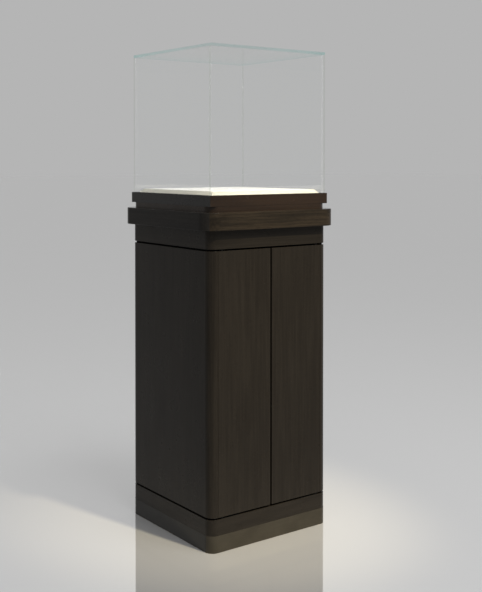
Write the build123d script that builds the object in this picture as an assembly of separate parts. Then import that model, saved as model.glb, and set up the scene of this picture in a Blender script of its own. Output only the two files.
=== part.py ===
"""Display plinth: a square veneered pedestal with a two-door cupboard and a lift-off glass hood.

Millimetres, +Z up. The origin is the centre of the footprint on the floor. The doors face -Y.
Every piece is its own solid and is written to parts/NODE.step.
"""
from build123d import *
import os

# ---- Driving dimensions: plan -----------------------------------------------------------------
BODY_WIDTH = 400.0          # square body, rails and top frame, outside faces
BODY_RADIUS = 24.0          # rounded upright corners of the body and rails
BAND_OVERHANG = 21.0        # the band stands this far outside the body
BAND_RADIUS = 44.0          # rounded corners of the band
NECK_INSET = 0.3            # neck face behind the frame face
NECK_RADIUS = 29.0
REVEAL_DEPTH = 4.5          # depth of the two shadow gaps
KICK_PROUD = 0.5            # metal kick in front of the body face
HOOD_WIDTH = 392.0          # outside faces of the glass
DECK_WIDTH = 368.0          # display deck at its foot

# ---- Driving dimensions: heights above the floor ------------------------------------------------
KICK_TOP = 45.0
LOWER_REVEAL = (87.0, 92.0)
UPPER_REVEAL = (788.5, 793.5)
BAND_BOTTOM = 843.0
BAND_TOP = 890.0
NECK_TOP = 905.0
FRAME_TOP = 934.0
DECK_TOP = 944.0
HOOD_TOP = 1330.0
SHELF_TOP = 446.0

# ---- Driving dimensions: stock ------------------------------------------------------------------
BOARD = 18.0                # boards of the carcass, rails and doors
SHELF_BOARD = 16.0
BAND_BOARD = 62.0           # width of the band's four boards
FRAME_BOARD = 50.0          # width of the top frame's four boards
GLASS = 8.0
SKIN = 1.2                  # sheet metal of the kick
SKIN_LIFT = 0.5             # the skin stops short of the floor
SKIN_SEAM = 0.4             # butt joint of the skin, at the back
EDGE = 0.6                  # softened edges of the boards
KICK_EDGE = 0.3
BAND_EDGE = 1.5
FRAME_EDGE = 0.3
GLASS_EDGE = 0.6            # polished arris of the glass
DECK_BEVEL = 45.0           # degrees

# ---- Doors, hinges and latches --------------------------------------------------------------------
DOOR_SIDE_GAP = 1.0         # door edge to corner post
DOOR_SIDE_EDGE = 0.3        # softened edge beside the corner post
DOOR_CENTRE_GAP = 5.0       # between the two doors
PIVOT_IN = 14.0             # pivot axis from the door's outer edge
PIVOT_BACK = 5.0            # pivot axis behind the door's face
PIN_RADIUS = 2.5
PIN_REACH = 8.0             # how far a pin enters the door
PIN_CLEARANCE = 1.0         # round the pin in the wood of the door
RUNNING = 0.05              # radial clearance of a running fit
PLATE_LENGTH = 60.0
PLATE_WIDTH = 8.0
PLATE_THICK = 3.0
WASHER_RADIUS = 4.0
WASHER_PLAY = 0.2
CARCASS_SETBACK = 10.0      # carcass boards and shelf stay this far behind the closed doors
LATCH_X = 32.0
LATCH_SIZE = (14.0, 46.0, 14.0)
LATCH_EDGE = 1.5
PLUNGER_RADIUS = 4.0
PLUNGER_LENGTH = 32.0
PLUNGER_EDGE = 1.0
PLUNGER_TRAVEL = 2.5
STRIKE_RADIUS = 9.0
STRIKE_THICK = 1.2
TOUCH_GAP = 0.3             # plunger tip to strike with the door closed

# ---- Feet, pins, dowels and screws ----------------------------------------------------------------
BLOCK = 40.0                # square corner blocks that carry the levelling feet
BLOCK_BOTTOM = 8.0
FOOT_RADIUS = 15.0
FOOT_HEIGHT = 6.0
FOOT_EDGE = 2.0
STUD_RADIUS = 4.0
STUD_TOP = 40.0
STUD_CLEARANCE = 0.1
STUD_HOLE = 5.0             # clearance hole in the block above the insert
INSERT_RADIUS = 7.0
INSERT_HEIGHT = 13.0
SHELF_PIN_RADIUS = 2.5
SHELF_PIN_LENGTH = 16.0
SHELF_PIN_DEPTH = 8.0
SHELF_PIN_Y = 120.0
SHELF_PIN_PITCH = 64.0
SHELF_PLAY = 1.5
DOWEL_RADIUS = 4.0
DOWEL_LENGTH = 30.0
DOWEL_IN_PANEL = 12.0
DOWEL_Y = 120.0
SCREW_RADIUS = 2.0
SCREW_HEAD = 4.0
SCREW_LENGTH = 40.0
SCREW_ALONG = 100.0
GROOVE_PLAY = 0.5           # glass in the frame's groove, each side
GROOVE_DEPTH = 4.0
SEAL = 1.0

# ---- Values worked out from the above ---------------------------------------------------------------
HALF = BODY_WIDTH / 2
BODY_BOTTOM = LOWER_REVEAL[1]
BODY_TOP = UPPER_REVEAL[0]
INNER = HALF - BOARD                       # inside face of the side and back boards
POST = HALF - BODY_RADIUS                  # inside faces of the corner posts
DOOR_BACK = -INNER                         # Y of the doors' back faces
CARCASS_FRONT = DOOR_BACK + CARCASS_SETBACK
PIVOT_X = POST - DOOR_SIDE_GAP - PIVOT_IN
PIVOT_Y = -HALF + PIVOT_BACK
HOOD_HALF = HOOD_WIDTH / 2
HOOD_BOTTOM = FRAME_TOP - GROOVE_DEPTH + SEAL
KICK_HALF = HALF + KICK_PROUD - SKIN
KICK_INNER = KICK_HALF - BOARD
BLOCK_CENTRE = KICK_INNER - BLOCK / 2
CORNERS = {
    "front_left": (-1, -1),
    "front_right": (1, -1),
    "back_left": (-1, 1),
    "back_right": (1, 1),
}
HANDS = {"left": -1, "right": 1}
SAME = 0.01                 # positions closer than this are one
LEVELS = {"lower": (LOWER_REVEAL, 1), "upper": (UPPER_REVEAL, -1)}

nodes = {}


# ---- Helpers --------------------------------------------------------------------------------------
def block(x_range, y_range, z_range):
    """A box from its low and high values along each axis."""
    spans = [sorted(x_range), sorted(y_range), sorted(z_range)]
    size = [high - low for low, high in spans]
    centre = [(high + low) / 2 for low, high in spans]
    return Pos(*centre) * Box(*size)


def rod(radius, centre, length, axis=Axis.Z):
    """A round bar centred on a point."""
    turn = {Axis.Z: Rot(0, 0, 0), Axis.X: Rot(0, 90, 0), Axis.Y: Rot(90, 0, 0)}[axis]
    return Pos(*centre) * turn * Cylinder(radius, length)


def rounded_slab(width, radius, bottom, top):
    """A square slab with rounded upright corners."""
    outline = RectangleRounded(width, width, radius)
    return Pos(0, 0, bottom) * extrude(outline, top - bottom)


def rims_at(shape, levels):
    """The edges of a slab that lie flat at the given heights."""
    rims = []
    for edge in shape.edges():
        start = (edge @ 0).Z
        flat = abs(start - (edge @ 1).Z) < SAME
        at_level = any(abs(start - level) < SAME for level in levels)
        if flat and at_level:
            rims.append(edge)
    return rims


def upright_edges(shape, x, y):
    """The upright edges of a shape that pass through a plan point."""
    found = []
    for edge in shape.edges().filter_by(Axis.Z):
        middle = edge @ 0.5
        if abs(middle.X - x) < SAME and abs(middle.Y - y) < SAME:
            found.append(edge)
    return found


def mitred_boards(ring, reach, bottom, top):
    """A square ring cut at its diagonals into front, back, left and right boards."""
    sides = {
        "front": [(-reach, -reach), (reach, -reach)],
        "back": [(reach, reach), (-reach, reach)],
        "left": [(-reach, reach), (-reach, -reach)],
        "right": [(reach, -reach), (reach, reach)],
    }
    boards = {}
    for side, (start, end) in sides.items():
        wedge = extrude(make_face(Polyline((0, 0), start, end, close=True)), top - bottom)
        boards[side] = ring & (Pos(0, 0, bottom) * wedge)
    return boards


def ring_boards(half, radius, board, bottom, top, rims, softening):
    """Four mitred boards round a square, with the rims at the given heights softened."""
    slab = rounded_slab(2 * half, radius, bottom, top)
    slab = fillet(rims_at(slab, rims), softening)
    inner = half - board
    ring = slab - block((-inner, inner), (-inner, inner), (bottom, top))
    return mitred_boards(ring, 2 * half, bottom, top)


def group(shapes):
    """Separate solids that share one node."""
    return Compound(children=list(shapes))


# ---- Base: kick, corner blocks, levelling feet and bottom rail --------------------------------------
def make_base():
    skin_radius = BODY_RADIUS + KICK_PROUD
    boards = ring_boards(KICK_HALF, skin_radius - SKIN, BOARD, 0, KICK_TOP, [KICK_TOP], KICK_EDGE)
    nodes["kick_frame"] = group(boards.values())

    skin_outer = rounded_slab(2 * (HALF + KICK_PROUD), skin_radius, SKIN_LIFT, KICK_TOP)
    skin_inner = rounded_slab(2 * KICK_HALF, skin_radius - SKIN, SKIN_LIFT, KICK_TOP)
    seam = block((-SKIN_SEAM / 2, SKIN_SEAM / 2), (INNER, HALF + BOARD), (SKIN_LIFT, KICK_TOP))
    nodes["kick_skin"] = skin_outer - skin_inner - seam

    blocks = []
    inserts = []
    for name, (side_x, side_y) in CORNERS.items():
        x = side_x * BLOCK_CENTRE
        y = side_y * BLOCK_CENTRE
        insert_z = BLOCK_BOTTOM + INSERT_HEIGHT / 2
        block_z = (BLOCK_BOTTOM + KICK_TOP) / 2
        insert = rod(INSERT_RADIUS, (x, y, insert_z), INSERT_HEIGHT)
        corner = Pos(x, y, block_z) * Box(BLOCK, BLOCK, KICK_TOP - BLOCK_BOTTOM)
        corner -= rod(STUD_HOLE, (x, y, block_z), KICK_TOP - BLOCK_BOTTOM)
        blocks.append(corner - insert)
        inserts.append(insert - rod(STUD_RADIUS + STUD_CLEARANCE, (x, y, insert_z), INSERT_HEIGHT))
        pad = rod(FOOT_RADIUS, (x, y, FOOT_HEIGHT / 2), FOOT_HEIGHT)
        nodes["foot_pad_" + name] = fillet(pad.edges().group_by(Axis.Z)[-1], FOOT_EDGE)
        stud_z = (FOOT_HEIGHT + STUD_TOP) / 2
        nodes["foot_stud_" + name] = rod(STUD_RADIUS, (x, y, stud_z), STUD_TOP - FOOT_HEIGHT)
    nodes["corner_blocks"] = group(blocks)
    nodes["foot_inserts"] = group(inserts)

    rail_top = LOWER_REVEAL[0]
    rails = ring_boards(HALF, BODY_RADIUS, BOARD, KICK_TOP, rail_top, [rail_top], EDGE)
    nodes["bottom_rail"] = group(rails.values())


# ---- Body: posts, panels, spacers, carcass boards and shelf -----------------------------------------
def make_body():
    shell = rounded_slab(BODY_WIDTH, BODY_RADIUS, BODY_BOTTOM, BODY_TOP)
    shell = fillet(rims_at(shell, [BODY_BOTTOM, BODY_TOP]), EDGE)
    height = (BODY_BOTTOM, BODY_TOP)
    for name, (side_x, side_y) in CORNERS.items():
        corner = block((side_x * POST, side_x * HALF), (side_y * POST, side_y * HALF), height)
        nodes["post_" + name] = shell & corner
    for hand, side in HANDS.items():
        nodes["side_panel_" + hand] = shell & block((side * INNER, side * HALF), (-POST, POST), height)
    nodes["back_panel"] = shell & block((-POST, POST), (INNER, HALF), height)

    spacer_half = HALF - REVEAL_DEPTH
    notch_depth = BOARD + REVEAL_DEPTH
    for name, (bottom, top) in {"lower_spacer": LOWER_REVEAL, "upper_spacer": UPPER_REVEAL}.items():
        slab = rounded_slab(2 * spacer_half, BODY_RADIUS - REVEAL_DEPTH, bottom, top)
        notch = block((-POST, POST), (-HALF, -HALF + notch_depth), (bottom, top))
        nodes[name] = slab - notch

    posts = [nodes["post_" + name] for name in CORNERS]
    boards = {
        "carcass_bottom": (BODY_BOTTOM, BODY_BOTTOM + BOARD),
        "carcass_top": (BODY_TOP - BOARD, BODY_TOP),
    }
    dowels = []
    for name, (bottom, top) in boards.items():
        panel = block((-INNER, INNER), (CARCASS_FRONT, INNER), (bottom, top))
        for post in posts:
            panel -= post
        nodes[name] = panel
        for side in HANDS.values():
            for y in (-DOWEL_Y, DOWEL_Y):
                x = side * (INNER + DOWEL_IN_PANEL - DOWEL_LENGTH / 2)
                dowels.append(rod(DOWEL_RADIUS, (x, y, (bottom + top) / 2), DOWEL_LENGTH, Axis.X))
    for dowel in dowels:
        for name in list(boards) + ["side_panel_left", "side_panel_right"]:
            nodes[name] -= dowel
    nodes["carcass_dowels"] = group(dowels)

    shelf_x = INNER - SHELF_PLAY
    shelf_bottom = SHELF_TOP - SHELF_BOARD
    shelf = block((-shelf_x, shelf_x), (CARCASS_FRONT + SHELF_PLAY, POST), (shelf_bottom, SHELF_TOP))
    nodes["shelf"] = fillet(shelf.edges().filter_by(Axis.X).group_by(Axis.Y)[0], EDGE)

    pins = []
    pin_z = shelf_bottom - SHELF_PIN_RADIUS
    for hand, side in HANDS.items():
        x = side * (INNER + SHELF_PIN_DEPTH - SHELF_PIN_LENGTH / 2)
        for y in (-SHELF_PIN_Y, SHELF_PIN_Y):
            pins.append(rod(SHELF_PIN_RADIUS, (x, y, pin_z), SHELF_PIN_LENGTH, Axis.X))
            for step in (-1, 0, 1):
                hole_centre = (x, y, pin_z + step * SHELF_PIN_PITCH)
                hole = rod(SHELF_PIN_RADIUS, hole_centre, SHELF_PIN_LENGTH, Axis.X)
                nodes["side_panel_" + hand] -= hole
    nodes["shelf_pins"] = group(pins)


# ---- Doors with their pivot hinges and push latches -------------------------------------------------
def make_doors():
    shell = rounded_slab(BODY_WIDTH, BODY_RADIUS, BODY_BOTTOM, BODY_TOP)
    shell = fillet(rims_at(shell, [BODY_BOTTOM, BODY_TOP]), EDGE)
    frame_plates = []
    pins = []
    washers = []
    latches = []
    for hand, side in HANDS.items():
        outer_x = side * (POST - DOOR_SIDE_GAP)
        inner_x = side * DOOR_CENTRE_GAP / 2
        door = shell & block((inner_x, outer_x), (-HALF, DOOR_BACK), (BODY_BOTTOM, BODY_TOP))
        door = fillet(upright_edges(door, inner_x, -HALF), EDGE)
        door = fillet(upright_edges(door, outer_x, -HALF), DOOR_SIDE_EDGE)
        pivot_x = side * PIVOT_X
        plate_start = pivot_x + side * PLATE_WIDTH / 2
        plate_x = (plate_start, plate_start - side * PLATE_LENGTH)
        plate_y = (PIVOT_Y - PLATE_WIDTH / 2, PIVOT_Y + PLATE_WIDTH / 2)
        door_plates = []
        for (low, high), up in LEVELS.values():
            rail_face, door_edge = (low, high) if up > 0 else (high, low)
            pin_low = rail_face - up * PLATE_THICK
            pin_high = door_edge + up * PIN_REACH
            pin_centre = (pivot_x, PIVOT_Y, (pin_low + pin_high) / 2)
            pin_length = abs(pin_high - pin_low)
            pin = rod(PIN_RADIUS, pin_centre, pin_length)
            pin_hole = rod(PIN_RADIUS + PIN_CLEARANCE, pin_centre, pin_length + 2 * PIN_CLEARANCE)
            frame_plate = block(plate_x, plate_y, (rail_face, pin_low))
            for rail in ("bottom_rail", "top_rail"):
                nodes[rail] = group(solid - frame_plate for solid in nodes[rail].solids())
            door_plate = block(plate_x, plate_y, (door_edge, door_edge + up * PLATE_THICK))
            door -= door_plate
            door -= pin_hole
            door_plates.append(door_plate - rod(PIN_RADIUS + RUNNING, pin_centre, pin_length))
            washer_height = high - low - WASHER_PLAY
            washer_centre = (pivot_x, PIVOT_Y, rail_face + up * washer_height / 2)
            washers.append(rod(WASHER_RADIUS, washer_centre, washer_height) - pin)
            frame_plates.append(frame_plate - pin)
            pins.append(pin)
        nodes["door_" + hand] = door
        nodes["door_hinge_plates_" + hand] = group(door_plates)

        latch_x = side * LATCH_X
        width, depth, height = LATCH_SIZE
        latch_z = BODY_TOP - BOARD - height / 2
        latch = Pos(latch_x, CARCASS_FRONT + depth / 2, latch_z) * Box(width, depth, height)
        latch = fillet(latch.edges().filter_by(Axis.Y).group_by(Axis.Z)[0], LATCH_EDGE)
        strike_centre = (latch_x, DOOR_BACK + STRIKE_THICK / 2, latch_z)
        tip_y = DOOR_BACK + STRIKE_THICK + TOUCH_GAP
        plunger_centre = (latch_x, tip_y + PLUNGER_LENGTH / 2, latch_z)
        plunger = rod(PLUNGER_RADIUS, plunger_centre, PLUNGER_LENGTH, Axis.Y)
        bore_length = PLUNGER_LENGTH + 2 * PLUNGER_TRAVEL
        bore_centre = (latch_x, tip_y + bore_length / 2, latch_z)
        latches.append(latch - rod(PLUNGER_RADIUS + RUNNING, bore_centre, bore_length, Axis.Y))
        nodes["strike_" + hand] = rod(STRIKE_RADIUS, strike_centre, STRIKE_THICK, Axis.Y)
        nodes["latch_plunger_" + hand] = fillet(plunger.edges().group_by(Axis.Y)[0], PLUNGER_EDGE)
    nodes["hinge_frame_plates"] = group(frame_plates)
    nodes["hinge_pins"] = group(pins)
    nodes["hinge_washers"] = group(washers)
    nodes["latch_bodies"] = group(latches)


# ---- Head: top rail, band, neck, top frame and deck ---------------------------------------------------
def make_head():
    rail_bottom = UPPER_REVEAL[1]
    rails = ring_boards(HALF, BODY_RADIUS, BOARD, rail_bottom, BAND_BOTTOM, [rail_bottom], EDGE)
    nodes["top_rail"] = group(rails.values())
    nodes["top_board"] = block((-INNER, INNER), (-INNER, INNER), (BAND_BOTTOM - BOARD, BAND_BOTTOM))

    band_half = HALF + BAND_OVERHANG
    rims = [BAND_BOTTOM, BAND_TOP]
    band = ring_boards(band_half, BAND_RADIUS, BAND_BOARD, BAND_BOTTOM, BAND_TOP, rims, BAND_EDGE)
    neck = rounded_slab(2 * (HALF - NECK_INSET), NECK_RADIUS, BAND_TOP, NECK_TOP)

    screws = []
    screw_line = band_half - BAND_BOARD / 2 - SCREW_HEAD
    cone_height = SCREW_HEAD - SCREW_RADIUS
    for side in (-1, 1):
        for along in (-SCREW_ALONG, SCREW_ALONG):
            for x, y in ((along, side * screw_line), (side * screw_line, along)):
                shank = rod(SCREW_RADIUS, (x, y, NECK_TOP - SCREW_LENGTH / 2), SCREW_LENGTH)
                cone = Cone(SCREW_RADIUS, SCREW_HEAD, cone_height)
                screws.append(shank + Pos(x, y, NECK_TOP - cone_height / 2) * cone)
    for screw in screws:
        neck -= screw
        for side in band:
            band[side] -= screw
    for side, board in band.items():
        nodes["band_" + side] = board
    nodes["neck_board"] = neck
    nodes["neck_screws"] = group(screws)

    frame_inner = HALF - FRAME_BOARD
    slab = block((-HALF, HALF), (-HALF, HALF), (NECK_TOP, FRAME_TOP))
    slab = fillet(slab.edges().filter_by(Axis.Z), EDGE)
    slab = fillet(rims_at(slab, [NECK_TOP, FRAME_TOP]), FRAME_EDGE)
    groove_outer = HOOD_HALF + GROOVE_PLAY
    groove_inner = HOOD_HALF - GLASS - GROOVE_PLAY
    floor = FRAME_TOP - GROOVE_DEPTH
    groove = block((-groove_outer, groove_outer), (-groove_outer, groove_outer), (floor, FRAME_TOP))
    groove -= block((-groove_inner, groove_inner), (-groove_inner, groove_inner), (floor, FRAME_TOP))
    slab -= groove
    core = block((-frame_inner, frame_inner), (-frame_inner, frame_inner), (NECK_TOP, FRAME_TOP))
    for side, board in mitred_boards(slab - core, BODY_WIDTH, NECK_TOP, FRAME_TOP).items():
        nodes["top_frame_" + side] = board
    nodes["deck_core"] = core

    seal_ring = groove & block((-HALF, HALF), (-HALF, HALF), (floor, floor + SEAL))
    seals = mitred_boards(seal_ring, BODY_WIDTH, floor, floor + SEAL)
    nodes["hood_seal"] = group(seals.values())

    foot = Rectangle(DECK_WIDTH, DECK_WIDTH)
    nodes["deck_panel"] = Pos(0, 0, FRAME_TOP) * extrude(foot, DECK_TOP - FRAME_TOP, taper=DECK_BEVEL)


# ---- Glass hood ------------------------------------------------------------------------------------------
def make_hood():
    wall = (HOOD_BOTTOM, HOOD_TOP - GLASS)
    side_y = HOOD_HALF - GLASS
    for name, side in {"front": -1, "back": 1}.items():
        pane = block((-HOOD_HALF, HOOD_HALF), (side * side_y, side * HOOD_HALF), wall)
        corners = upright_edges(pane, -HOOD_HALF, side * HOOD_HALF)
        corners += upright_edges(pane, HOOD_HALF, side * HOOD_HALF)
        nodes["glass_" + name] = chamfer(corners, GLASS_EDGE)
    for hand, side in HANDS.items():
        nodes["glass_" + hand] = block((side * side_y, side * HOOD_HALF), (-side_y, side_y), wall)
    lid = block((-HOOD_HALF, HOOD_HALF), (-HOOD_HALF, HOOD_HALF), (HOOD_TOP - GLASS, HOOD_TOP))
    nodes["glass_top"] = chamfer(rims_at(lid, [HOOD_TOP]), GLASS_EDGE)


make_base()
make_body()
make_head()
make_doors()
make_hood()

os.makedirs("parts", exist_ok=True)
for node, shape in nodes.items():
    export_step(shape, f"parts/{node}.step")
print(len(nodes), "nodes")
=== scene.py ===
"""Display plinth: materials, glass hood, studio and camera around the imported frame. Metres, +Z up."""
import math

import bmesh
import bpy
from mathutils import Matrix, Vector


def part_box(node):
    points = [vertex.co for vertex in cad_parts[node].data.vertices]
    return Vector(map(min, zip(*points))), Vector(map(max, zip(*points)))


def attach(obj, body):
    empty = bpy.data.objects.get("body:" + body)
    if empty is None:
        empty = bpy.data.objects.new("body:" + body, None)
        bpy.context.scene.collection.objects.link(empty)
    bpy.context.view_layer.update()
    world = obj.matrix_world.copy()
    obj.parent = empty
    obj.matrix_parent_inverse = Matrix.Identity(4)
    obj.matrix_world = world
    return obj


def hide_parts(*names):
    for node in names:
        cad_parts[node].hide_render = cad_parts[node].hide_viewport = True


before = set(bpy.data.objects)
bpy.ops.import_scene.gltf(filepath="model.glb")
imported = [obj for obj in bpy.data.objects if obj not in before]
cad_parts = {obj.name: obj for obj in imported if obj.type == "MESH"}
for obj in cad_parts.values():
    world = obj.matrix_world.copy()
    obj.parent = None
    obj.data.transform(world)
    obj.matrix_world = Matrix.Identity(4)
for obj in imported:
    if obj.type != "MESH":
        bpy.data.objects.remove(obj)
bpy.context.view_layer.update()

MM = 0.001
X, Y, Z = 0, 1, 2

# ---- Sizes and angles ----------------------------------------------------------------------------
BOND_GAP = 0.1 * MM         # bonded joint between two panes
ARRIS = 0.9 * MM            # polished bevel along the exposed edges
ARRIS_STEPS = 2
GLASS_MIN = 1.0 * MM        # less than any pane's thickness
HOOD_PANES = ("front", "back", "left", "right", "top")
BOND_SLOT = 2               # the bond's place among a pane's materials
SQUARE = 0.5                # two faces with a smaller cosine between them meet at a corner
FLAT = 0.99                 # a face with a larger cosine to an axis lies across it
LEVEL = 0.9                 # the same, for the deck's top above its bevel
PAST_ANY_BOARD = 100.0      # metres

# ---- Colours, linear RGB -------------------------------------------------------------------------
VENEER_LIGHT = (0.0172, 0.0142, 0.0108, 1)
VENEER_DARK = (0.0118, 0.0096, 0.0072, 1)
BAND_LIGHT = (0.0325, 0.0245, 0.0165, 1)
BAND_DARK = (0.0145, 0.0117, 0.0088, 1)
# Painted shade: duller, more neutral copies of the band's colours, with flatter figure, for its boards
# that face the sides
BAND_SIDE_PAINTED_SHADE_LIGHT = (0.0205, 0.0185, 0.0165, 1)
BAND_SIDE_PAINTED_SHADE_DARK = (0.015, 0.0138, 0.0125, 1)
FRAME_LIGHT = (0.0235, 0.0142, 0.0085, 1)
FRAME_DARK = (0.0165, 0.0102, 0.0062, 1)
# Painted shade: duller, more neutral copies of the frame's colours for its boards that face the sides
FRAME_SIDE_PAINTED_SHADE_LIGHT = (0.018, 0.0165, 0.0155, 1)
FRAME_SIDE_PAINTED_SHADE_DARK = (0.0145, 0.0135, 0.0125, 1)
VENEER_PORE = (0.006, 0.0045, 0.0035, 1)
VENEER_WORN = (0.055, 0.044, 0.034, 1)
SPACER_BLACK = (0.0015, 0.0015, 0.0015, 1)
SPACER_GREY = (0.004, 0.004, 0.004, 1)
MELAMINE_DARK = (0.035, 0.029, 0.0245, 1)
MELAMINE_LIGHT = (0.062, 0.052, 0.045, 1)
TIMBER_EARLY = (0.56, 0.4, 0.23, 1)
TIMBER_LATE = (0.36, 0.21, 0.1, 1)
BRONZE_DARK = (0.0292, 0.0255, 0.0187, 1)
BRONZE_LIGHT = (0.039, 0.0342, 0.0255, 1)
# Painted shade: a darker, greyer copy of the kick's bronze for its faces that look along X
BRONZE_SIDE_PAINTED_SHADE_DARK = (0.0175, 0.0168, 0.015, 1)
BRONZE_SIDE_PAINTED_SHADE_LIGHT = (0.0235, 0.0225, 0.02, 1)
BRONZE_WORN = (0.09, 0.08, 0.06, 1)
IVORY = (0.87, 0.85, 0.79, 1)
IVORY_SHADE = (0.85, 0.825, 0.76, 1)
# Painted shade: a darker copy of the deck's ivory for its bevel, the same lacquer as the top
BEVEL_PAINTED_SHADE_IVORY = (0.54, 0.52, 0.43, 1)
BEVEL_PAINTED_SHADE_DARK = (0.51, 0.49, 0.4, 1)
ZINC_DARK = (0.42, 0.42, 0.41, 1)
ZINC_LIGHT = (0.62, 0.61, 0.59, 1)
BLACK_ZINC_DARK = (0.008, 0.008, 0.008, 1)
BLACK_ZINC_LIGHT = (0.018, 0.018, 0.017, 1)
BRASS_DARK = (0.6, 0.42, 0.17, 1)
BRASS_LIGHT = (0.8, 0.62, 0.3, 1)
PLASTIC_DARK = (0.002, 0.002, 0.002, 1)
PLASTIC_LIGHT = (0.005, 0.005, 0.005, 1)
RUBBER_DARK = (0.018, 0.018, 0.018, 1)
RUBBER_LIGHT = (0.034, 0.034, 0.033, 1)
GLASS_CLEAR = (0.993, 0.998, 0.997, 1)
GLASS_EDGE = (0.7, 0.93, 0.9, 1)
GLASS_END = (0.84, 0.87, 0.82, 1)
GLASS_BOND = (0.6, 0.62, 0.62, 1)

# ---- Glass, floor and surround -------------------------------------------------------------------
THIN_IOR = 1.002            # of the body of the glass, so low that light hardly bends
GLASS_IOR = 1.5             # of its surface
BOND_ALPHA = 0.03
FLOOR_PALE = (0.97, 0.97, 0.97, 1)
FLOOR_WIDTH = 120.0
MIRROR = 0.7                # share of the floor's light that is mirrored
MIRROR_ROUGHNESS = 0.005
STUDIO_GREY = (0.462, 0.462, 0.462, 1)

# ---- Lacquers over the veneer: gloss is the range of roughness -----------------------------------
PLAIN_LACQUER = {"specular": 0.1, "gloss": (0.27, 0.35), "ripple": 0.0}
SATIN_LACQUER = {"specular": 0.2, "gloss": (0.22, 0.28), "ripple": 0.0}
POLISHED_LACQUER = {"specular": 0.06, "gloss": (0.08, 0.13), "ripple": 0.25 * MM}

# ---- Camera --------------------------------------------------------------------------------------
CAMERA_PLACE = (-1.6615, -2.3122, 1.0233)
CAMERA_HEADING = 36.45      # degrees from +Y towards +X
CAMERA_PITCH = -0.944
FRAME_WIDTH = 482
FRAME_HEIGHT = 592
SENSOR_HEIGHT = 36.0
LENS = 60.52
LENS_SHIFT = -0.2
CLIP_END = 200.0

# ---- Lights: two lamps at one place; cones in degrees, powers in watts, sizes in metres ----------
LAMP_PLACE = (0.27, -2.14, 3.12)
KEY_TARGET = (-0.015, 0.042, 0.0)
KEY_COLOUR = (1.0, 0.87, 0.61)
KEY_POWER = 545
KEY_CONE = 20.4
KEY_SIZE = 0.08
WIDE_TARGET = (0.5, 1.0, 0.0)
WIDE_COLOUR = (1.0, 1.0, 1.0)
WIDE_POWER = 320
WIDE_CONE = 113.0
WIDE_SIZE = 1.3


# ---- Material building ---------------------------------------------------------------------------
class Finish:
    """A material, and short calls for the nodes that its pattern is made of."""

    def __init__(self, name, roughness=0.5, metallic=0.0, specular=0.5):
        self.material = bpy.data.materials.new(name)
        self.material.use_nodes = True
        self.tree = self.material.node_tree
        self.shader = self.tree.nodes["Principled BSDF"]
        self.shader.inputs["Roughness"].default_value = roughness
        self.shader.inputs["Metallic"].default_value = metallic
        self.shader.inputs["Specular IOR Level"].default_value = specular

    def add(self, kind, inputs, output=0, **settings):
        """A new node, its inputs set or linked, and the output socket asked for."""
        made = self.tree.nodes.new("ShaderNode" + kind)
        for key, value in settings.items():
            setattr(made, key, value)
        for key, value in inputs.items():
            if isinstance(value, bpy.types.NodeSocket):
                self.tree.links.new(value, made.inputs[key])
            else:
                made.inputs[key].default_value = value
        return made.outputs[output]

    def place(self, stretch=(1, 1, 1)):
        """The point on the object, with each axis scaled."""
        point = self.add("TexCoord", {}, "Object")
        return self.add("Mapping", {"Vector": point, "Scale": stretch})

    def noise(self, point, per_metre, detail=2.0, rough=0.5, warp=0.0):
        """Smooth noise between 0 and 1."""
        inputs = {
            "Vector": point,
            "Scale": per_metre,
            "Detail": detail,
            "Roughness": rough,
            "Distortion": warp,
        }
        return self.add("TexNoise", inputs)

    def ramp(self, value, start, end, low=0.0, high=1.0):
        """Value from start to end, eased to low to high."""
        inputs = {"Value": value, "From Min": start, "From Max": end, "To Min": low, "To Max": high}
        return self.add("MapRange", inputs, interpolation_type="SMOOTHSTEP")

    def sum(self, first, second, scale=1.0):
        """first + second * scale."""
        inputs = {0: second, 1: scale, 2: first}
        return self.add("Math", inputs, operation="MULTIPLY_ADD")

    def product(self, first, second):
        """first * second."""
        return self.add("Math", {0: first, 1: second}, operation="MULTIPLY")

    def mix(self, factor, first, second):
        """Colour first where factor is 0, second where it is 1."""
        return self.add("Mix", {0: factor, 6: first, 7: second}, 2, data_type="RGBA")

    def edges(self, reach):
        """1 along the edges of the solid, 0 further away than reach."""
        rounded = self.add("Bevel", {"Radius": reach}, samples=6)
        flat = self.add("NewGeometry", {}, "Normal")
        agreement = self.add("VectorMath", {0: rounded, 1: flat}, "Value", operation="DOT_PRODUCT")
        return self.ramp(agreement, 0.995, 0.86)

    def bump(self, height, depth, below=None):
        """A surface raised by height times depth, on top of the one below."""
        inputs = {"Height": height, "Distance": depth, "Strength": 1.0}
        if below is not None:
            inputs["Normal"] = below
        return self.add("Bump", inputs)

    def finish(self, colour=None, roughness=None, normal=None):
        """Links the patterns to the shader and gives the material."""
        for socket, value in (("Base Color", colour), ("Roughness", roughness), ("Normal", normal)):
            if value is not None:
                self.tree.links.new(value, self.shader.inputs[socket])
        return self.material


def stretched(axis, along):
    """Scales that draw a pattern out along one axis."""
    scales = [1.0, 1.0, 1.0]
    scales[axis] = along
    return scales


def darker(colour, part):
    """The same colour with only a part of its light."""
    return tuple(part * value for value in colour[:3]) + (1,)


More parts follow.
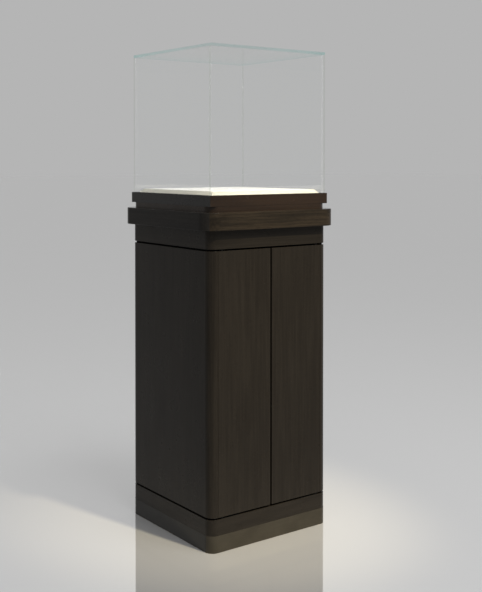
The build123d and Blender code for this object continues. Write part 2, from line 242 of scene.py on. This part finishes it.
# ---- Materials -----------------------------------------------------------------------------------
def veneer(name, grain, shades=(VENEER_DARK, VENEER_LIGHT), leaf=None, lacquer=PLAIN_LACQUER):
    """Dark stained open-pored veneer under lacquer, its grain along one axis.

    With a leaf width, strips of that width differ a little in tone.
    """
    look = Finish(name, specular=lacquer["specular"])
    fibre = look.place(stretched(grain, 0.02))
    streaks = look.noise(fibre, 240.0, detail=4.0, rough=0.6, warp=0.4)
    figure = look.noise(look.place(stretched(grain, 0.07)), 34.0, detail=3.0, warp=1.2)
    pores = look.noise(look.place(stretched(grain, 0.035)), 1500.0, detail=1.0)
    tone = look.sum(look.product(streaks, 0.6), figure, 0.4)
    if leaf:
        steps = [leaf, leaf, leaf]
        steps[grain] = PAST_ANY_BOARD
        strip = look.add("VectorMath", {0: look.place(), 1: steps}, operation="SNAP")
        shade = look.add("TexWhiteNoise", {"Vector": strip}, noise_dimensions="3D")
        tone = look.sum(tone, look.sum(-0.5, shade), 0.06)
    wood = look.mix(look.ramp(tone, 0.36, 0.64), *shades)
    pore_mask = look.ramp(pores, 0.6, 0.7)
    wood = look.mix(look.product(pore_mask, 0.7), wood, VENEER_PORE)
    scuffs = look.ramp(look.noise(look.place(), 60.0, detail=3.0), 0.5, 0.75)
    wear = look.product(look.edges(1.2 * MM), look.sum(0.25, scuffs, 0.6))
    wood = look.mix(look.product(wear, 0.5), wood, VENEER_WORN)
    smudges = look.noise(look.place(), 14.0, detail=3.0, rough=0.6)
    rough = look.sum(look.ramp(smudges, 0.35, 0.7, *lacquer["gloss"]), pore_mask, 0.12)
    surface = look.bump(look.sum(look.product(streaks, 0.3), pore_mask, -1.0), 0.05 * MM)
    if lacquer["ripple"]:
        waves = look.noise(look.place(stretched(grain, 0.12)), 90.0, detail=2.0)
        surface = look.bump(waves, lacquer["ripple"], below=surface)
    return look.finish(wood, rough, surface)


def painted_board():
    """Black paint rolled onto fibreboard."""
    look = Finish("black_paint", specular=0.02)
    stipple = look.noise(look.place(), 900.0, detail=3.0)
    colour = look.mix(look.noise(look.place(), 45.0), SPACER_BLACK, SPACER_GREY)
    return look.finish(colour, look.ramp(stipple, 0.3, 0.7, 0.8, 0.95), look.bump(stipple, 0.06 * MM))


def melamine():
    """Matt brown-black board with a faint printed grain and a pressed texture."""
    look = Finish("dark_melamine", specular=0.4)
    grain = look.noise(look.place((1, 0.04, 1)), 300.0, detail=4.0, warp=0.3)
    grit = look.noise(look.place(), 1600.0, detail=1.0)
    colour = look.mix(look.ramp(grain, 0.35, 0.65), MELAMINE_DARK, MELAMINE_LIGHT)
    return look.finish(colour, look.ramp(grit, 0.3, 0.7, 0.42, 0.55), look.bump(grit, 0.04 * MM))


def sawn_timber(name, grain):
    """Plain pale softwood with growth rings and saw marks."""
    look = Finish(name, specular=0.3)
    rings = look.noise(look.place(stretched(grain, 0.03)), 130.0, detail=2.0, warp=0.6)
    saw = look.noise(look.place(stretched(grain, 6.0)), 110.0, detail=1.0)
    fibres = look.noise(look.place(stretched(grain, 0.05)), 1400.0)
    colour = look.mix(look.ramp(rings, 0.42, 0.6), TIMBER_EARLY, TIMBER_LATE)
    height = look.sum(look.product(saw, 0.6), fibres, 0.4)
    return look.finish(colour, look.ramp(fibres, 0.3, 0.7, 0.55, 0.75), look.bump(height, 0.15 * MM))


def brushed_bronze(name, dark, light):
    """Bronze tinted sheet, brushed round the kick, with scuffs where shoes touch it."""
    look = Finish(name, specular=0.1)
    brush = look.noise(look.place((0.012, 0.012, 1)), 2200.0, detail=2.0)
    cloud = look.noise(look.place(), 18.0, detail=3.0)
    tone = look.sum(look.product(brush, 0.5), cloud, 0.5)
    colour = look.mix(look.ramp(tone, 0.35, 0.65), dark, light)
    scuffs = look.ramp(look.noise(look.place((1, 1, 2.5)), 90.0, detail=4.0, rough=0.7), 0.58, 0.72)
    gloss = look.sum(look.ramp(brush, 0.3, 0.7, 0.08, 0.14), scuffs, 0.1)
    colour = look.mix(look.product(look.edges(0.6 * MM), 0.5), colour, BRONZE_WORN)
    return look.finish(colour, gloss, look.bump(brush, 0.02 * MM))


def ivory_lacquer(name, light, shade):
    """Sprayed matt ivory lacquer with a trace of orange peel."""
    look = Finish(name, specular=0.4)
    peel = look.noise(look.place(), 420.0, detail=2.0)
    colour = look.mix(look.noise(look.place(), 22.0, detail=3.0), light, shade)
    return look.finish(colour, look.ramp(peel, 0.3, 0.7, 0.4, 0.5), look.bump(peel, 0.02 * MM))


def zinc_plate():
    """Bright zinc plating with faint spangle and handling marks."""
    look = Finish("zinc_plate", metallic=1.0)
    spangle = look.add("TexVoronoi", {"Vector": look.place(), "Scale": 650.0}, "Distance")
    marks = look.noise(look.place(), 160.0, detail=4.0)
    colour = look.mix(look.sum(look.product(spangle, 0.5), marks, 0.5), ZINC_DARK, ZINC_LIGHT)
    return look.finish(colour, look.ramp(marks, 0.35, 0.7, 0.28, 0.45), look.bump(marks, 0.015 * MM))


def black_zinc():
    """Dull black plating with faint handling marks."""
    look = Finish("black_zinc", specular=0.1)
    marks = look.noise(look.place(), 160.0, detail=4.0)
    colour = look.mix(look.ramp(marks, 0.35, 0.7), BLACK_ZINC_DARK, BLACK_ZINC_LIGHT)
    return look.finish(colour, look.ramp(marks, 0.35, 0.7, 0.5, 0.7), look.bump(marks, 0.015 * MM))


def turned_brass():
    """Machined brass with fine tool rings."""
    look = Finish("turned_brass", metallic=1.0)
    rings = look.noise(look.place((0.02, 0.02, 1)), 2600.0)
    colour = look.mix(look.ramp(rings, 0.3, 0.7), BRASS_DARK, BRASS_LIGHT)
    return look.finish(colour, look.ramp(rings, 0.3, 0.7, 0.22, 0.36), look.bump(rings, 0.03 * MM))


def moulded_plastic():
    """Black plastic with a fine spark-eroded texture."""
    look = Finish("moulded_plastic", specular=0.04)
    spark = look.noise(look.place(), 1900.0, detail=2.0)
    colour = look.mix(look.noise(look.place(), 120.0), PLASTIC_DARK, PLASTIC_LIGHT)
    return look.finish(colour, look.ramp(spark, 0.3, 0.7, 0.5, 0.65), look.bump(spark, 0.03 * MM))


def seal_rubber():
    """Matt rubber strip with a dusty bloom."""
    look = Finish("seal_rubber", specular=0.3)
    bloom = look.noise(look.place(), 260.0, detail=4.0)
    colour = look.mix(look.ramp(bloom, 0.35, 0.7), RUBBER_DARK, RUBBER_LIGHT)
    return look.finish(colour, look.ramp(bloom, 0.3, 0.7, 0.65, 0.85), look.bump(bloom, 0.03 * MM))


def glass(name, colour):
    """A see-through body that hardly bends light, under a surface that reflects as glass does."""
    look = Finish(name, roughness=0.0)
    settings = {
        "Base Color": colour,
        "IOR": THIN_IOR,
        "Transmission Weight": 1.0,
        "Coat Weight": 1.0,
        "Coat Roughness": 0.0,
        "Coat IOR": GLASS_IOR,
    }
    for socket, value in settings.items():
        look.shader.inputs[socket].default_value = value
    return look


def clear_glass():
    """Polished float glass with the faintest wiping marks."""
    look = glass("clear_glass", GLASS_CLEAR)
    wipes = look.noise(look.place((1, 0.2, 1)), 40.0, detail=3.0)
    return look.finish(roughness=look.ramp(wipes, 0.55, 0.8, 0.0, 0.03))


def glass_edge(name, tint):
    """A polished edge, tinted by the light that has crossed the width of the pane."""
    look = glass(name, tint)
    draw = look.noise(look.place(), 300.0, detail=2.0)
    colour = look.mix(draw, tint, darker(tint, 0.94))
    return look.finish(colour, look.ramp(draw, 0.3, 0.7, 0.02, 0.06))


def glass_bond():
    """The cured adhesive between two panes, so clear that it hardly shows."""
    look = Finish("glass_bond", roughness=0.3, specular=0.0)
    look.shader.inputs["Alpha"].default_value = BOND_ALPHA
    flow = look.noise(look.place(), 200.0, detail=2.0)
    return look.finish(look.mix(flow, GLASS_BOND, darker(GLASS_BOND, 0.9)))


def pale_floor():
    """Pale polished floor that mirrors what stands on it."""
    look = Finish("pale_floor", roughness=0.6, specular=0.2)
    cloud = look.noise(look.place(), 1.6, detail=3.0)
    look.finish(look.mix(cloud, FLOOR_PALE, darker(FLOOR_PALE, 0.99)))
    mirror = look.add("BsdfGlossy", {"Color": (1, 1, 1, 1), "Roughness": MIRROR_ROUGHNESS})
    output = look.tree.nodes["Material Output"]
    body = look.shader.outputs[0]
    surface = look.add("MixShader", {0: MIRROR, 1: body, 2: mirror})
    look.tree.links.new(surface, output.inputs["Surface"])
    return look.material


# ---- Finishes on the CAD nodes -------------------------------------------------------------------
def set_finish(node, *materials):
    """Gives a CAD node its material, or two: along X and along Y by which side a face is on."""
    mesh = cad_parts[node].data
    mesh.materials.clear()
    for material in materials:
        mesh.materials.append(material)
    if len(materials) > 1:
        for face in mesh.polygons:
            face.material_index = int(abs(face.center.x) > abs(face.center.y))


def grain_axis(node):
    """The axis that a board's grain runs along, or None for a ring of boards."""
    if node.endswith(("rail", "kick_frame")):
        return None
    if node.startswith(("band", "top_frame")):
        return X if node.endswith(("front", "back")) else Y
    return X if node == "neck_board" else Z


def add_finish(node, material, wanted):
    """Gives the wanted faces of a CAD node a second material."""
    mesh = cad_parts[node].data
    mesh.materials.append(material)
    for face in mesh.polygons:
        face.material_index = int(wanted(face))


def dress_nodes():
    """Every CAD node gets the finish of its slot; gives the one for the glass."""
    post_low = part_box("post_front_right")[0]
    leaf = post_low.x / 2
    boards = {
        X: veneer("veneer_along_x", X),
        Y: veneer("veneer_along_y", Y),
        Z: veneer("veneer_upright", Z, leaf=leaf),
    }
    # the frame's side boards take the painted shade copies of its colours
    frame_side_painted_shade = (FRAME_SIDE_PAINTED_SHADE_DARK, FRAME_SIDE_PAINTED_SHADE_LIGHT)
    frame_boards = {
        X: veneer("frame_along_x", X, (FRAME_DARK, FRAME_LIGHT), lacquer=SATIN_LACQUER),
        Y: veneer("frame_along_y_painted_shade", Y, frame_side_painted_shade, lacquer=SATIN_LACQUER),
    }
    # the band's side boards take the painted shade copies of its colours
    band_side_painted_shade = (BAND_SIDE_PAINTED_SHADE_DARK, BAND_SIDE_PAINTED_SHADE_LIGHT)
    band_boards = {
        X: veneer("band_along_x", X, (BAND_DARK, BAND_LIGHT), lacquer=POLISHED_LACQUER),
        Y: veneer("band_along_y_painted_shade", Y, band_side_painted_shade, lacquer=POLISHED_LACQUER),
    }
    timber = {X: sawn_timber("timber_along_x", X), Y: sawn_timber("timber_along_y", Y)}
    plain = {
        "black_spacer": painted_board(),
        "carcass_board": melamine(),
        "bronze_steel": brushed_bronze("brushed_bronze", BRONZE_DARK, BRONZE_LIGHT),
        "ivory_lacquer": ivory_lacquer("ivory_lacquer", IVORY, IVORY_SHADE),
        "clear_glass": clear_glass(),
        "plated_steel": zinc_plate(),
        "black_steel": black_zinc(),
        "brass": turned_brass(),
        "black_plastic": moulded_plastic(),
        "seal_rubber": seal_rubber(),
    }
    for node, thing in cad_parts.items():
        slot = thing.data.materials[0].name.split(".")[0]
        if slot in plain:
            set_finish(node, plain[slot])
            continue
        sorts = boards if slot == "dark_veneer" else timber
        if node.startswith("band"):
            sorts = band_boards
        elif node.startswith(("top_frame", "neck")):
            sorts = frame_boards
        axis = grain_axis(node)
        if axis is None or axis not in sorts:
            set_finish(node, sorts[X], sorts[Y])
        else:
            set_finish(node, sorts[axis])
    # the kick's faces along X get the painted shade copy of the bronze
    side_bronze_painted_shade = brushed_bronze("side_bronze_painted_shade", BRONZE_SIDE_PAINTED_SHADE_DARK, BRONZE_SIDE_PAINTED_SHADE_LIGHT)
    add_finish("kick_skin", side_bronze_painted_shade, lambda face: abs(face.normal.x) > FLAT)
    # the deck's bevel faces get the painted shade copy of the ivory
    bevel = ivory_lacquer("bevel_painted_shade_lacquer", BEVEL_PAINTED_SHADE_IVORY, BEVEL_PAINTED_SHADE_DARK)
    add_finish("deck_panel", bevel, lambda face: face.normal.z < LEVEL)
    return plain["clear_glass"]


# ---- Glass hood ----------------------------------------------------------------------------------
def inside(point, box):
    """Whether a point is within a box."""
    low, high = box
    return all(low[axis] < point[axis] < high[axis] for axis in (X, Y, Z))


def glass_pane(side, clear, edge, bond):
    """A pane with its exposed edges polished, in the place of its CAD node."""
    low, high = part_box("glass_" + side)
    others = [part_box("glass_" + other) for other in HOOD_PANES if other != side]
    size = high - low
    thin = min((X, Y, Z), key=lambda axis: size[axis])
    shape = bmesh.new()
    bmesh.ops.create_cube(shape, size=1.0)
    bmesh.ops.scale(shape, vec=size - Vector((BOND_GAP, BOND_GAP, BOND_GAP)), verts=shape.verts)
    bmesh.ops.translate(shape, vec=(low + high) / 2, verts=shape.verts)
    for other in others:
        for corner in other:
            for axis in (X, Y):
                if low[axis] + GLASS_MIN < corner[axis] < high[axis] - GLASS_MIN:
                    parts = shape.verts[:] + shape.edges[:] + shape.faces[:]
                    normal = Vector((axis == X, axis == Y, 0))
                    bmesh.ops.bisect_plane(shape, geom=parts, plane_co=corner, plane_no=normal)

    def bonded(face):
        beyond = face.calc_center_median() + face.normal * GLASS_MIN
        return any(inside(beyond, other) for other in others)

    shape.normal_update()
    open_edges = []
    for line in shape.edges:
        first, second = line.link_faces
        square = abs(first.normal.dot(second.normal)) < SQUARE
        if square and not bonded(first) and not bonded(second):
            open_edges.append(line)
    rounding = {"offset": ARRIS, "segments": ARRIS_STEPS, "profile": 0.5}
    bmesh.ops.bevel(shape, geom=open_edges, affect="EDGES", **rounding)
    shape.normal_update()
    for face in shape.faces:
        if bonded(face):
            face.material_index = BOND_SLOT
        else:
            face.material_index = int(abs(face.normal[thin]) < FLAT)
    mesh = bpy.data.meshes.new("pane_" + side)
    shape.to_mesh(mesh)
    shape.free()
    for material in (clear, edge, bond):
        mesh.materials.append(material)
    pane = bpy.data.objects.new("pane_" + side, mesh)
    bpy.context.scene.collection.objects.link(pane)
    pane.visible_shadow = False
    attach(pane, "hood")
    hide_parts("glass_" + side)


# ---- Studio --------------------------------------------------------------------------------------
def studio():
    """A plain grey surround and a pale floor."""
    world = bpy.data.worlds.new("studio")
    world.use_nodes = True
    world.node_tree.nodes["Background"].inputs["Color"].default_value = STUDIO_GREY
    bpy.context.scene.world = world
    bpy.context.scene.view_settings.view_transform = "Standard"
    bpy.ops.mesh.primitive_plane_add(size=FLOOR_WIDTH)
    floor = bpy.context.object
    floor.name = "floor"
    floor.data.materials.append(pale_floor())


def aim(thing, place, target):
    """Puts a thing at a place, facing a target."""
    thing.location = place
    thing.rotation_euler = (Vector(target) - Vector(place)).to_track_quat("-Z", "Y").to_euler()


def lamp(name, target, power, colour, cone, size):
    """A spot lamp that is seen only by what it lights."""
    data = bpy.data.lights.new(name, "SPOT")
    data.energy = power
    data.color = colour
    data.spot_size = math.radians(cone)
    data.spot_blend = 1.0
    data.shadow_soft_size = size
    thing = bpy.data.objects.new(name, data)
    thing.visible_camera = False
    bpy.context.scene.collection.objects.link(thing)
    aim(thing, LAMP_PLACE, target)


def camera():
    """The photograph's camera: nearly level, with its lens shifted."""
    data = bpy.data.cameras.new("camera")
    data.sensor_fit = "VERTICAL"
    data.sensor_height = SENSOR_HEIGHT
    data.sensor_width = SENSOR_HEIGHT * FRAME_WIDTH / FRAME_HEIGHT
    data.lens = LENS
    data.shift_y = LENS_SHIFT
    data.clip_end = CLIP_END
    thing = bpy.data.objects.new("camera", data)
    thing.location = CAMERA_PLACE
    thing.rotation_euler = (math.radians(90 + CAMERA_PITCH), 0, math.radians(-CAMERA_HEADING))
    bpy.context.scene.collection.objects.link(thing)
    bpy.context.scene.camera = thing


clear = dress_nodes()
wall_end = glass_edge("glass_end", GLASS_END)
lid_edge = glass_edge("glass_edge", GLASS_EDGE)
bond = glass_bond()
for side in HOOD_PANES:
    glass_pane(side, clear, lid_edge if side == "top" else wall_end, bond)
studio()
lamp("key", KEY_TARGET, KEY_POWER, KEY_COLOUR, KEY_CONE, KEY_SIZE)
lamp("wide", WIDE_TARGET, WIDE_POWER, WIDE_COLOUR, WIDE_CONE, WIDE_SIZE)
camera()
